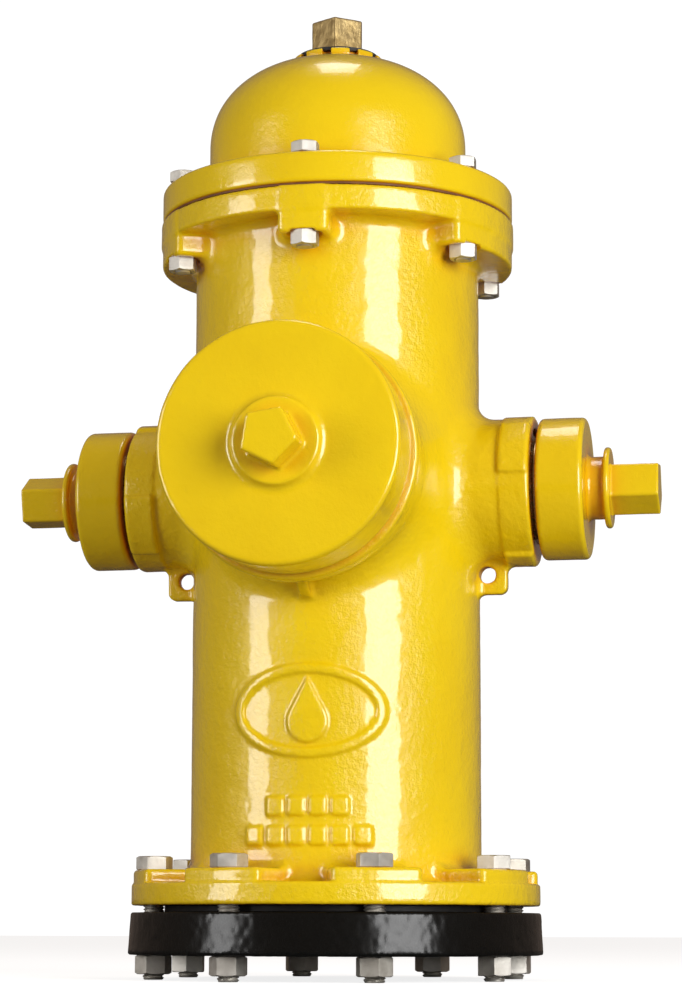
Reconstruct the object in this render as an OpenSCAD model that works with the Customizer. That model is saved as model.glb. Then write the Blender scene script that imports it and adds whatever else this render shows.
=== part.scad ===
// Dry-barrel fire hydrant, above-ground section.
// +Z is up, -Y is the pumper outlet, +X and -X are the hose outlets.
// The origin is on the barrel's axis, at the underside of the break ring.

/* [Break ring] */
// Radius of the ring at its underside
ring_r = 154.6; // [154:0.1:157]
// Height of the ring
ring_h = 31; // [28:0.5:34]
// Radius of the socket for the lower barrel
socket_r = 108; // [104:0.5:110]

/* [Barrel] */
// Outer radius of the barrel
barrel_r = 109; // [108:0.5:110]
// Radius of the bore through the barrel
bore_r = 98; // [93:0.5:100]
// Radius of the base flange
base_flange_r = 152.7; // [152:0.1:154]
// Thickness of the base flange between its bolt pads
base_flange_h = 16; // [14:0.5:18]
// Height of the raised bolt pads on the base flange
base_pad_h = 10; // [8:0.5:12]
// Thickness of the gasket under the base flange
base_gap = 5; // [4:0.5:5]

/* [Bonnet joint] */
// Height of the seam between barrel and bonnet
seam_z = 557; // [550:1:565]
// Radius of the two flanges at the seam
seam_flange_r = 135.4; // [134:0.1:137]
// Depth of the barrel's flange over the hose outlets and at the bolts
seam_flange_h = 34.7; // [34:0.1:36]
// Depth of the barrel's flange in its pockets
thin_flange_h = 18.2; // [17:0.1:20]
// Width of the boss around each bonnet bolt
boss_w = 38; // [34:1:40]
// Thickness of the bonnet's flange
bonnet_flange_h = 24.2; // [22:0.1:26]

/* [Dome] */
// Outer radius of the dome
dome_r = 99.5; // [98:0.5:101]
// Height of the dome's straight side above the seam
dome_straight_h = 61; // [58:1:64]
// Rise of the dome's curve
dome_rise = 72; // [71:0.5:74]
// Wall thickness of the dome
dome_wall = 9.5; // [8:0.5:11]

/* [Outlets] */
// Height of the hose outlets
hose_z = 347; // [340:1:352]
// Height of the pumper outlet
pumper_z = 351; // [345:1:356]
// Radius of a hose outlet's boss and cap
hose_boss_r = 53.5; // [53:0.1:55]
// Distance of a hose boss's face from the barrel's axis
hose_face = 154; // [152:0.5:156]
// Radius of the pumper outlet's neck
pumper_neck_r = 84; // [83:0.5:85]
// Radius of the ring around the pumper outlet
pumper_ring_r = 90; // [89:0.5:92]
// Distance of the pumper boss's face from the barrel's axis
pumper_face = 167; // [165:0.5:168]
// Radius of the pumper cap
pumper_cap_r = 86.6; // [86:0.1:88]

/* [Operating gear] */
// Corner radius of the five-sided nuts
pentagon_r = 21.06; // [20.5:0.01:21.3]
// Radius of the upper stem
stem_r = 15.875; // [15.5:0.005:16]
// Distance the stem moves for one turn of the operating nut
stem_lead = 4.2333; // [4:0.0001:4.3]
// Turns of the operating nut from shut to open
open_turns = 12; // [10:1:12]

/* [Hidden] */
$fn = 96;

// Clearances: a turning or sliding fit, two pieces that meet, and a cut that runs past a face
fit = 0.07;
gap = 0.1;
past = 1;

// Colours
enamel = "gold";
black_paint = "#181818";
bronze = "#a8843c";
zinc = "#b9b9b4";
rubber = "#2a2a2a";
steel = "#8f9194";

// Heights
base_z = ring_h + base_gap;
base_pad_z = base_z + base_flange_h + base_pad_h;
seam_gasket_h = 1.6;
barrel_top = seam_z - seam_gasket_h / 2;
bonnet_z = seam_z + seam_gasket_h / 2;
boss_z = barrel_top - seam_flange_h;
bonnet_flange_top = bonnet_z + bonnet_flange_h;
dome_z = seam_z + dome_straight_h;

// Base joint: eight 5/8 inch bolts that straddle the pumper outlet
base_bolts_n = 8;
base_bolt_r = 7.94;
base_hole_r = 8.75;
base_pcd_r = 137;
base_bolt_head = [23.8, 10];
base_nut = [23.8, 14];
base_bolt_end = 18;
base_pad_half_angle = 13;
base_gasket_r = 128;
base_gasket_inner_r = socket_r + 4;

// Bonnet joint: six 1/2 inch bolts, one of them over the pumper outlet
bonnet_bolts_n = 6;
bonnet_bolt_r = 6.35;
bonnet_hole_r = 7.15;
bonnet_pcd_r = 124.3;
bonnet_bolt_head = [19.05, 8.4];
bonnet_nut = [19.05, 11.1];
bonnet_bolt_past = 1;
spot_face = [12.6, 2];
bonnet_nut_z = boss_z + spot_face[1];

// Seal plate: a flange held between barrel and bonnet, a dished middle and a hub
plate_r = 112.3;
plate_seat_h = 8.2;
plate_h = 12;
plate_dish_r = 33;
hub_r = 31;
hub_h = 46;
sleeve_r = 19.05;
travel = open_turns * stem_lead;

// Operating nut and what holds it down
nut_seat_z = 655;
washer_h = 3;
washer_r = 30;
collar_r = 29.5;
collar_z = nut_seat_z + washer_h + gap;
collar_h = 8;
upper_washer_z = collar_z + collar_h + gap;
hold_down_z = upper_washer_z + washer_h + gap;
hold_down_thread_r = 32.6;
hold_down_top = 692.5;
castle_r = 35;
castle_h = 6;
castle_notches = 10;
nut_neck_r = 21.5;
nut_tube_r = 23.5;
nut_bottom = 612;
nut_bore_top = 693;
seal_h = 1.6;
pentagon_z = hold_down_top + seal_h + gap;
nut_top = 722;

// Stem
stem_top = 690;
stem_bottom = 74;
stop_nut_z = 595.2;
stop_nut_h = 16;
stop_gap = 0.4;
dish_floor_z = stop_nut_z - travel - stop_gap;
sleeve_bottom = dish_floor_z - hub_h - 10;
coupling_z = 38;
coupling_h = 70;
coupling_r = 24;
lower_socket_r = 16.2;
lower_socket_h = 35;
pin_r = 6.35;
pin_hole_r = 6.42;
upper_pin_z = 92;
lower_pin_z = 54;
cotter_x = coupling_r + 4.6;

// Outlets, along each outlet's own axis: bayonet lugs lock each nozzle in its boss
lug_half_angle = 25;
slot_half_angle = 28;
lug_h = 9.6;
groove_h = 10;
lip_h = 6;
nozzle_wall_h = 50;

// 2 1/2 inch hose outlet: bore, thread and pitch
hose_bore = 31.75;
hose_thread_r = 38.97;
hose_body_r = 40.9;
hose_lug_r = 46;
hose_end = 184;
hose_cap_back = 158;
hose_cap_end = 194;
hose_cap_floor = 187.8;
hose_neck = [23.6, 206];
hose_collar = [30.5, 214];
hose_flare = 3;
hose_nut_end = 246.5;
hose_pad_r = 58;
hose_pad_half_angle = 25;
hose_pad_z = 131;
hose_nut_turns = [6, 4.4];
hose_lock_angles = [180, 60];

// 4 1/2 inch pumper outlet
pumper_bore = 57.15;
pumper_thread_r = 73.16;
pumper_body_r = 75.4;
pumper_lug_r = 80.8;
pumper_end = 203;
pumper_ring_z = 149;
pumper_cap_back = 170;
pumper_cap_end = 217.4;
pumper_cap_floor = 207.4;
pumper_neck = [30.5, 222.5];
pumper_nut_end = 248;
pumper_flare = 5.5;
pumper_nut_turn = -9.2;
pumper_lock_angle = 60;
gasket_h = 3.5;
lock_screw_r = 4;

// Chain eyes under the hose outlets, and a plain web under the pumper outlet
eye_x = 116.5;
eye_z = hose_z - 64.4;
eye_hole_r = 6.2;
eye_reach = 131.3;
eye_bottom = 14.6;
eye_corner = 6;
eye_w = 9;
web_z = pumper_z - 96;
web_w = 8;

// Raised shapes on the barrel's front: an oval rim with a drop in it, and two rows of plain bars
oval = [56, 33.75];
oval_line = 6.8;
oval_z = 174.25;
raised = 2.4;
drop_r = 15;
drop_tip = 24;
bar = [12.5, 13.5];
bar_pitch = 16;
bar_rows = [[4, -75], [6, -96]];

// Points of an arc about (cx, cy), from angle a0 to a1
function arc(cx, cy, r, a0, a1, n = 6) =
    [for (i = [0 : n]) let (a = a0 + (a1 - a0) * i / n) [cx + r * cos(a), cy + r * sin(a)]];

// A list of points in the opposite order
function reversed(points) = [for (i = [len(points) - 1 : -1 : 0]) points[i]];

// Points of an ellipse with half-axes a and b
function ellipse(a, b, n = 48) = [for (i = [0 : n - 1]) [a * cos(360 * i / n), b * sin(360 * i / n)]];

// Points on a dome's curve from its side to radius r_end: a slightly squared ellipse
dome_power = 2.2;
function dome_height(r, a, b) = b * pow(1 - pow(r / a, dome_power), 1 / dome_power);
function dome_curve(a, b, z, r_end, n = 18) =
    let (t_end = acos(r_end / a))
    [for (i = [0 : n]) let (r = a * cos(t_end * i / n)) [r, z + dome_height(r, a, b)]];

// A wedge of the given half-angle about +X, tall enough to cut a flange
module wedge(half_angle, r, h) {
    linear_extrude(height = h)
        polygon([[0, 0], [r, -r * tan(half_angle)], [r, r * tan(half_angle)]]);
}

// A flat ring
module ring(r_out, r_in, h) {
    difference() {
        cylinder(r = r_out, h = h);
        translate([0, 0, -past]) cylinder(r = r_in, h = h + 2 * past);
    }
}

// An O-ring whose section is centred on radius r
module oring(r, section_r) {
    rotate_extrude() translate([r, 0]) circle(r = section_r, $fn = 24);
}

// A hexagon with chamfered corners at its top
module hexagon(across_flats, h) {
    corner_r = across_flats / 2 / cos(30);
    intersection() {
        cylinder(r = corner_r, h = h, $fn = 6);
        translate([0, 0, h - corner_r * 1.2]) cylinder(r1 = corner_r * 2.2, r2 = corner_r * 0.86, h = corner_r * 1.2);
    }
}

// A hexagon bolt: its head stands on z = 0 and its shank hangs below
module hex_bolt(r, head, length) {
    hexagon(head[0], head[1]);
    translate([0, 0, -length]) cylinder(r = r, h = length + past);
}

// A hexagon nut that hangs below z = 0
module hex_nut(r, size) {
    mirror([0, 0, 1]) difference() {
        hexagon(size[0], size[1]);
        translate([0, 0, -past]) cylinder(r = r + gap, h = size[1] + 2 * past);
    }
}

// Copies its children around the axis
module around(n, r, first) {
    for (i = [0 : n - 1]) rotate([0, 0, first + 360 * i / n]) translate([r, 0, 0]) children();
}

// Puts its children on the base bolts or the bonnet bolts
module at_base_bolts() { around(base_bolts_n, base_pcd_r, 22.5) children(); }
module at_bonnet_bolts() { around(bonnet_bolts_n, bonnet_pcd_r, -90) children(); }

// Puts its children at an outlet: the outlet's axis becomes +Z, pointing out
module at_hose(side) { translate([0, 0, hose_z]) rotate([0, side * 90, 0]) children(); }
module at_pumper() { translate([0, 0, pumper_z]) rotate([90, 0, 0]) children(); }

// Three ring sectors about +Z, for bayonet lugs, slots and pads
module three_sectors(r_out, r_in, half_angle, first, z0, h) {
    for (i = [0 : 2]) translate([0, 0, z0]) intersection() {
        ring(r_out, r_in, h);
        rotate([0, 0, first + 120 * i]) translate([0, 0, -past]) wedge(half_angle, 1.5 * r_out, h + 2 * past);
    }
}

// The bore of an outlet's boss, with its bayonet groove and entry slots
module outlet_bore(body_r, lug_r, face, start) {
    groove_z = face - lip_h - groove_h;
    translate([0, 0, start]) cylinder(r = body_r + gap, h = face - start + past);
    translate([0, 0, groove_z]) cylinder(r = lug_r + 0.4, h = groove_h);
    three_sectors(lug_r + 0.4, body_r - past, slot_half_angle, 60, groove_z + past, groove_h + lip_h);
}

// The radial hole for an outlet's lock screw
module lock_hole(lug_r, boss_r, face, angle) {
    rotate([0, 0, angle]) translate([lug_r - past, 0, face - lip_h - groove_h / 2])
        rotate([0, 90, 0]) cylinder(r = lock_screw_r + gap, h = boss_r - lug_r + 3 * past);
}

// A nozzle with its bayonet lugs, O-ring groove and male thread
module nozzle(bore, thread_r, body_r, lug_r, face, end) {
    start = face - nozzle_wall_h;
    groove_r = body_r - 4;
    difference() {
        union() {
            translate([0, 0, start]) cylinder(r = body_r, h = face - start);
            translate([0, 0, face - past]) cylinder(r = thread_r, h = end - face + past);
            three_sectors(lug_r, body_r - 2, lug_half_angle, 0, face - lip_h - groove_h + (groove_h - lug_h) / 2, lug_h);
        }
        translate([0, 0, start - past]) cylinder(r = bore, h = end - start + 2 * past);
        translate([0, 0, start + 8]) ring(body_r + past, groove_r, 4.6);
    }
}

module nozzle_oring(body_r, face) {
    translate([0, 0, face - nozzle_wall_h + 8 + 2.3]) oring(body_r - 2.05, 1.9);
}

// A cap: a hollow cup, a flared neck, a collar if it has one, and a five-sided nut
module cap(r, thread_r, back, end, floor_z, neck, flare, collar, nut_end, nut_turn) {
    edge = 4;
    difference() {
        union() {
            rotate_extrude() polygon(concat(
                [[0, back], [r - 1.5, back], [r, back + 1.5]],
                arc(r - edge, end - edge, edge, 0, 90),
                [[neck[0] + flare, end], [neck[0], end + flare / 2], [neck[0], neck[1]], [0, neck[1]]]
            ));
            if (collar != undef) rotate_extrude() polygon(concat(
                [[0, neck[1] - past]],
                arc(collar[0] - 2, neck[1] + 2, 2, -90, 0, 3),
                arc(collar[0] - 2, collar[1] - 2, 2, 0, 90, 3),
                [[0, collar[1]]]
            ));
            intersection() {
                rotate([0, 0, nut_turn]) translate([0, 0, end])
                    cylinder(r = pentagon_r, h = nut_end - end, $fn = 5);
                translate([0, 0, end - past])
                    cylinder(r1 = pentagon_r + 22, r2 = pentagon_r - 2.5, h = nut_end - end + past);
            }
        }
        translate([0, 0, back - past]) cylinder(r = thread_r + fit, h = floor_z - back + past);
    }
}

module cap_gasket(bore, thread_r, end) {
    translate([0, 0, end + gap]) ring(thread_r - 0.5, bore, gasket_h);
}

// ---- Base joint ----

module break_ring() {
    color(black_paint) difference() {
        rotate_extrude() polygon([
            [socket_r, 0], [ring_r - 2, 0], [ring_r, 2],
            [ring_r - 1.5, ring_h - 2], [ring_r - 3.5, ring_h], [socket_r, ring_h]
        ]);
        at_base_bolts() translate([0, 0, -past]) cylinder(r = base_hole_r, h = ring_h + 2 * past);
    }
}

module base_gasket() {
    color(rubber) translate([0, 0, ring_h]) ring(base_gasket_r, base_gasket_inner_r, base_gap);
}

module base_bolts() {
    color(zinc) at_base_bolts() translate([0, 0, base_pad_z])
        hex_bolt(base_bolt_r, base_bolt_head, base_pad_z + base_bolt_end);
}

module base_nuts() {
    color(zinc) at_base_bolts() hex_nut(base_bolt_r, base_nut);
}

// ---- Barrel ----

// The turned shape of the barrel: base flange, straight wall and seam flange
module barrel_body() {
    base_fillet = 9;
    seam_fillet = 8;
    rotate_extrude() polygon(concat(
        [[bore_r, base_z], [base_flange_r - 1.5, base_z], [base_flange_r, base_z + 1.5]],
        arc(base_flange_r - 3, base_z + base_flange_h - 3, 3, 0, 90, 4),
        arc(barrel_r + base_fillet, base_z + base_flange_h + base_fillet, base_fillet, -90, -180),
        arc(barrel_r + seam_fillet, boss_z - seam_fillet, seam_fillet, 180, 90),
        [[seam_flange_r - 2, boss_z], [seam_flange_r, boss_z + 2], [seam_flange_r, barrel_top]],
        [[plate_r + 0.3, barrel_top], [plate_r + 0.3, barrel_top - plate_seat_h], [bore_r, barrel_top - plate_seat_h]]
    ));
}

module base_pads() {
    for (i = [0 : base_bolts_n - 1]) intersection() {
        translate([0, 0, base_z + past]) ring(base_flange_r - 0.6, barrel_r - 5, base_flange_h + base_pad_h - past);
        rotate([0, 0, 22.5 + 45 * i]) wedge(base_pad_half_angle, 200, base_pad_z + past);
    }
}

// Pockets in the seam flange's underside between the bolts beside the pumper outlet and behind
module flange_pockets() {
    for (first = [-90, -150, 90, 30]) rotate([0, 0, first + 30]) difference() {
        translate([0, 0, boss_z - 12]) intersection() {
            ring(seam_flange_r + 5, barrel_r + 0.5, seam_flange_h - thin_flange_h + 12);
            wedge(30, 300, 80);
        }
        for (edge = [-30, 30]) rotate([0, 0, edge])
            translate([0, -boss_w / 2, boss_z - 20]) cube([200, boss_w, 80]);
    }
}

// A lug for a cap chain, in the plane of local X and Z
module chain_eye() {
    bottom = eye_z - eye_bottom;
    translate([0, eye_w / 2, 0]) rotate([90, 0, 0]) linear_extrude(height = eye_w) polygon(concat(
        [[bore_r + 6, bottom]],
        arc(eye_reach - eye_corner, bottom + eye_corner, eye_corner, -90, 0, 5),
        [[eye_reach, eye_z + 22], [bore_r + 6, eye_z + 22]]
    ));
}

module chain_hole() {
    translate([eye_x, eye_w, eye_z]) rotate([90, 0, 0]) cylinder(r = eye_hole_r, h = 2 * eye_w);
}

// Puts its children under each hose outlet: local +X points out
module at_eyes() {
    for (side = [0, 180]) rotate([0, 0, side]) children();
}

// A web between the barrel and the underside of the pumper outlet's neck
module pumper_web() {
    corner_r = 6;
    rotate([0, 0, -90]) translate([0, web_w / 2, 0]) rotate([90, 0, 0]) linear_extrude(height = web_w) polygon(concat(
        [[bore_r + 6, web_z]],
        arc(119, web_z + corner_r, corner_r, -90, -35, 4),
        [[141, web_z + 15], [141, web_z + 18], [bore_r + 6, web_z + 18]]
    ));
}

// Raised shapes on the barrel's front, laid on its curve
module front_relief() {
    intersection() {
        cylinder(r = barrel_r + raised, h = seam_z / 2);
        translate([0, -bore_r + 2, oval_z]) rotate([90, 0, 0]) linear_extrude(height = 30) union() {
            difference() {
                polygon(ellipse(oval[0], oval[1]));
                polygon(ellipse(oval[0] - oval_line, oval[1] - oval_line));
            }
            polygon(concat([[0, drop_tip]], arc(0, -8, drop_r, 150, 390, 16)));
            for (row = bar_rows) for (i = [0 : row[0] - 1])
                translate([(i - (row[0] - 1) / 2) * bar_pitch - bar[0] / 2, row[1]]) square(bar);
        }
    }
}

module barrel() {
    color(enamel) difference() {
        union() {
            difference() {
                barrel_body();
                flange_pockets();
            }
            base_pads();
            for (side = [-1, 1]) at_hose(side) {
                translate([0, 0, bore_r - 35]) cylinder(r = hose_boss_r, h = hose_face - bore_r + 35);
                three_sectors(hose_pad_r, hose_boss_r - 6, hose_pad_half_angle, 0, hose_pad_z, hose_face - hose_pad_z - 1);
            }
            at_pumper() {
                translate([0, 0, bore_r - 45]) cylinder(r = pumper_neck_r, h = pumper_face - bore_r + 45);
                translate([0, 0, pumper_ring_z]) cylinder(r = pumper_ring_r, h = pumper_face - pumper_ring_z - 1);
            }
            at_eyes() chain_eye();
            pumper_web();
            front_relief();
        }
        translate([0, 0, base_z - past]) cylinder(r = bore_r, h = seam_z);
        for (side = [-1, 1]) at_hose(side) {
            outlet_bore(hose_body_r, hose_lug_r, hose_face, bore_r - 40);
            lock_hole(hose_lug_r, hose_pad_r, hose_face, hose_lock_angles[(1 - side) / 2]);
        }
        at_pumper() {
            outlet_bore(pumper_body_r, pumper_lug_r, pumper_face, bore_r - 50);
            lock_hole(pumper_lug_r, pumper_ring_r, pumper_face, pumper_lock_angle);
        }
        at_eyes() chain_hole();
        at_base_bolts() cylinder(r = base_hole_r, h = base_pad_z + past);
        at_bonnet_bolts() translate([0, 0, boss_z - 12]) {
            cylinder(r = bonnet_hole_r, h = seam_flange_h + 12 + past);
            cylinder(r = spot_face[0], h = 12 + spot_face[1]);
        }
    }
}

// ---- Nozzles ----

module hose_nozzle(side) {
    color(bronze) at_hose(side) nozzle(hose_bore, hose_thread_r, hose_body_r, hose_lug_r, hose_face, hose_end);
}

module hose_nozzle_right() { hose_nozzle(1); }
module hose_nozzle_left() { hose_nozzle(-1); }

module pumper_nozzle() {
    color(bronze) at_pumper()
        nozzle(pumper_bore, pumper_thread_r, pumper_body_r, pumper_lug_r, pumper_face, pumper_end);
}

module hose_nozzle_oring_right() { color(rubber) at_hose(1) nozzle_oring(hose_body_r, hose_face); }
module hose_nozzle_oring_left() { color(rubber) at_hose(-1) nozzle_oring(hose_body_r, hose_face); }
module pumper_nozzle_oring() { color(rubber) at_pumper() nozzle_oring(pumper_body_r, pumper_face); }

// A socket set screw that stops a nozzle's lugs from turning back
module lock_screw(body_r, boss_r, face, angle) {
    start = body_r + 0.3;
    length = boss_r - start - 0.5;
    rotate([0, 0, angle]) translate([start, 0, face - lip_h - groove_h / 2]) rotate([0, 90, 0]) difference() {
        cylinder(r = lock_screw_r, h = length);
        translate([0, 0, length - 3]) cylinder(r = 2.3, h = 4, $fn = 6);
    }
}

module nozzle_lock_screws() {
    color(steel) {
        at_hose(1) lock_screw(hose_body_r, hose_boss_r, hose_face, hose_lock_angles[0]);
        at_hose(-1) lock_screw(hose_body_r, hose_boss_r, hose_face, hose_lock_angles[1]);
        at_pumper() lock_screw(pumper_body_r, pumper_ring_r, pumper_face, pumper_lock_angle);
    }
}

// ---- Bonnet ----

module bonnet_gasket() {
    color(rubber) difference() {
        translate([0, 0, barrel_top]) ring(seam_flange_r - 0.4, plate_r + 0.8, seam_gasket_h);
        at_bonnet_bolts() translate([0, 0, barrel_top - past])
            cylinder(r = bonnet_hole_r, h = seam_gasket_h + 2 * past);
    }
}

module seal_plate() {
    plate_z = barrel_top - plate_seat_h;
    hub_z = dish_floor_z - hub_h;
    bore = sleeve_r + fit;
    color("#7a6a3a") difference() {
        rotate_extrude() polygon([
            [bore, hub_z], [hub_r, hub_z], [hub_r, dish_floor_z - 10], [hub_r + 12, dish_floor_z - 10],
            [plate_r - 22, plate_z], [plate_r, plate_z], [plate_r, plate_z + plate_h - 0.2],
            [plate_dish_r + 8, plate_z + plate_h - 0.2], [plate_dish_r, dish_floor_z], [bore, dish_floor_z]
        ]);
        for (z = [8, 24]) translate([0, 0, hub_z + z]) ring(bore + 4, bore - past, 5);
        translate([0, 0, plate_z + 1.6]) ring(plate_r + past, plate_r - 3.4, 4.4);
    }
}

module seal_plate_oring() {
    color(rubber) translate([0, 0, barrel_top - plate_seat_h + 3.8]) oring(plate_r - 1.5, 1.75);
}

module stem_orings() {
    hub_z = dish_floor_z - hub_h;
    color(rubber) for (z = [8, 24]) translate([0, 0, hub_z + z + 2.5]) oring(sleeve_r + 2.05, 1.95);
}

module bonnet() {
    flange_edge = 4;
    dome_fillet = 7;
    inner_r = dome_r - dome_wall;
    inner_rise = dome_rise - dome_wall - 2;
    boss_r = 42;
    boss_bottom = nut_seat_z - 14;
    seat_r = castle_r + 1;
    seat_z = dome_z + dome_height(seat_r, dome_r, dome_rise);
    color(enamel) difference() {
        rotate_extrude() polygon(concat(
            [[plate_r + 0.3, bonnet_z], [seam_flange_r, bonnet_z]],
            arc(seam_flange_r - flange_edge, bonnet_flange_top - flange_edge, flange_edge, 0, 90, 4),
            arc(dome_r + dome_fillet, bonnet_flange_top + dome_fillet, dome_fillet, -90, -180),
            dome_curve(dome_r, dome_rise, dome_z, seat_r),
            [[hold_down_thread_r + gap, seat_z], [hold_down_thread_r + gap, hold_down_z], [washer_r + 0.3, hold_down_z]],
            [[washer_r + 0.3, nut_seat_z], [nut_tube_r + 0.5, nut_seat_z], [nut_tube_r + 0.5, boss_bottom]],
            [[boss_r, boss_bottom]],
            reversed(dome_curve(inner_r, inner_rise, dome_z, boss_r)),
            [[inner_r, bonnet_z + 4.4], [plate_r + 0.3, bonnet_z + 4.4]]
        ));
        at_bonnet_bolts() translate([0, 0, bonnet_z - past]) cylinder(r = bonnet_hole_r, h = bonnet_flange_h + 2 * past);
    }
}

module bonnet_bolts() {
    color(zinc) at_bonnet_bolts() translate([0, 0, bonnet_flange_top])
        hex_bolt(bonnet_bolt_r, bonnet_bolt_head, bonnet_flange_top - bonnet_nut_z + bonnet_nut[1] + bonnet_bolt_past);
}

module bonnet_nuts() {
    color(zinc) at_bonnet_bolts() translate([0, 0, bonnet_nut_z]) hex_nut(bonnet_bolt_r, bonnet_nut);
}

// ---- Operating gear ----

module lower_thrust_washer() {
    color("#c9a86a") translate([0, 0, nut_seat_z]) ring(washer_r, nut_tube_r + 0.5, washer_h);
}

module upper_thrust_washer() {
    color("#c9a86a") translate([0, 0, upper_washer_z]) ring(washer_r, nut_neck_r + 0.5, washer_h);
}

// Castellated nut that holds the operating nut down in the bonnet
module hold_down_nut() {
    castle_z = hold_down_top - castle_h;
    bore = nut_neck_r + fit;
    color(enamel) difference() {
        rotate_extrude() polygon([
            [bore, hold_down_z], [hold_down_thread_r, hold_down_z], [hold_down_thread_r, castle_z],
            [castle_r, castle_z + 0.6], [castle_r, hold_down_top - 1.5], [castle_r - 1.5, hold_down_top],
            [castle_r - 3, hold_down_top], [castle_r - 3, hold_down_top - 1.2], [bore, hold_down_top - 1.2]
        ]);
        translate([0, 0, hold_down_z + 5]) ring(bore + 4, bore - past, 5);
        around(castle_notches, castle_r, 14) translate([-4, -3.5, -4]) cube([10, 7, 20 + hold_down_top]);
    }
}

module operating_nut_orings() {
    color(rubber) translate([0, 0, hold_down_z + 7.5]) oring(nut_neck_r + 2.05, 1.95);
}

module weather_seal() {
    color(rubber) translate([0, 0, hold_down_top - 1.1]) ring(castle_r - 3.2, nut_neck_r + fit, seal_h + 1.1);
}

module operating_nut() {
    color(bronze) difference() {
        union() {
            translate([0, 0, nut_bottom]) cylinder(r = nut_tube_r, h = collar_z - nut_bottom + past);
            translate([0, 0, collar_z]) cylinder(r = collar_r, h = collar_h);
            translate([0, 0, collar_z]) cylinder(r = nut_neck_r, h = pentagon_z - collar_z);
            intersection() {
                rotate([0, 0, -86.5]) translate([0, 0, pentagon_z - past])
                    cylinder(r = pentagon_r, h = nut_top - pentagon_z + past, $fn = 5);
                translate([0, 0, pentagon_z - 2])
                    cylinder(r1 = pentagon_r + 22, r2 = pentagon_r - 2.5, h = nut_top - pentagon_z + 2);
            }
        }
        translate([0, 0, nut_bottom - past]) cylinder(r = stem_r + fit, h = nut_bore_top - nut_bottom + past);
    }
}

module upper_stem() {
    color(steel) difference() {
        translate([0, 0, stem_bottom]) cylinder(r = stem_r, h = stem_top - stem_bottom);
        translate([-30, 0, upper_pin_z]) rotate([0, 90, 0]) cylinder(r = pin_hole_r, h = 60);
    }
}

module stem_sleeve() {
    color(bronze) translate([0, 0, sleeve_bottom]) ring(sleeve_r, stem_r + 0.03, stop_nut_z - gap - sleeve_bottom);
}

module travel_stop_nut() {
    color(bronze) translate([0, 0, stop_nut_z]) ring(sleeve_r + 4, stem_r + 0.03, stop_nut_h);
}

// Coupling with a thin waist that breaks if the hydrant is struck; the lower stem enters from below
module stem_coupling() {
    waist_z = coupling_z + lower_socket_h;
    color(bronze) difference() {
        translate([0, 0, coupling_z]) cylinder(r = coupling_r, h = coupling_h);
        translate([0, 0, coupling_z - past]) cylinder(r = lower_socket_r, h = lower_socket_h + past);
        translate([0, 0, coupling_z]) cylinder(r = stem_r + 0.03, h = coupling_h + past);
        translate([0, 0, waist_z - 3]) ring(coupling_r + past, coupling_r - 3.5, 6);
        for (z = [lower_pin_z, upper_pin_z])
            translate([-30, 0, z]) rotate([0, 90, 0]) cylinder(r = pin_hole_r, h = 60);
    }
}

module coupling_pin() {
    color(steel) translate([-coupling_r - 5, 0, upper_pin_z]) rotate([0, 90, 0]) difference() {
        union() {
            cylinder(r = pin_r, h = 2 * coupling_r + 14);
            cylinder(r = pin_r + 3, h = 4.8);
        }
        translate([-10, 0, coupling_r + 5 + cotter_x]) rotate([0, 90, 0]) cylinder(r = 1.75, h = 20);
    }
}

module cotter_pin() {
    color(zinc) translate([cotter_x, 0, upper_pin_z]) {
        translate([0, 0, -10]) cylinder(r = 1.6, h = 19);
        translate([0, 0, 11.5]) rotate([90, 0, 0]) rotate_extrude() translate([3, 0]) circle(r = 1.2, $fn = 16);
    }
}

// ---- Caps ----

module hose_cap(side) {
    color(enamel) at_hose(side) cap(
        hose_boss_r, hose_thread_r, hose_cap_back, hose_cap_end, hose_cap_floor,
        hose_neck, hose_flare, hose_collar, hose_nut_end, hose_nut_turns[(1 - side) / 2]
    );
}

module hose_cap_right() { hose_cap(1); }
module hose_cap_left() { hose_cap(-1); }
module hose_cap_gasket_right() { color(rubber) at_hose(1) cap_gasket(hose_bore, hose_thread_r, hose_end); }
module hose_cap_gasket_left() { color(rubber) at_hose(-1) cap_gasket(hose_bore, hose_thread_r, hose_end); }

module pumper_cap() {
    color(enamel) at_pumper() cap(
        pumper_cap_r, pumper_thread_r, pumper_cap_back, pumper_cap_end, pumper_cap_floor,
        pumper_neck, pumper_flare, undef, pumper_nut_end, pumper_nut_turn
    );
}

module pumper_cap_gasket() { color(rubber) at_pumper() cap_gasket(pumper_bore, pumper_thread_r, pumper_end); }

break_ring();
base_gasket();
base_bolts();
base_nuts();
barrel();
hose_nozzle_right();
hose_nozzle_left();
pumper_nozzle();
hose_nozzle_oring_right();
hose_nozzle_oring_left();
pumper_nozzle_oring();
nozzle_lock_screws();
bonnet_gasket();
seal_plate();
seal_plate_oring();
stem_orings();
bonnet();
bonnet_bolts();
bonnet_nuts();
lower_thrust_washer();
upper_thrust_washer();
hold_down_nut();
operating_nut_orings();
weather_seal();
operating_nut();
upper_stem();
stem_sleeve();
travel_stop_nut();
stem_coupling();
coupling_pin();
cotter_pin();
hose_cap_gasket_right();
hose_cap_right();
hose_cap_gasket_left();
hose_cap_left();
pumper_cap_gasket();
pumper_cap();
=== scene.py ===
"""Looks of the fire hydrant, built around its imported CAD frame.

Castings are distance fields with filleted joins, meshed with OpenVDB and given a cast surface.
Turned and threaded pieces are lofts whose radius and height vary with the angle.
Shapes are worked out in millimetres and meshes are made in metres.
"""
import math

import bpy
import numpy as np
import openvdb
from mathutils import Matrix, Vector


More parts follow.
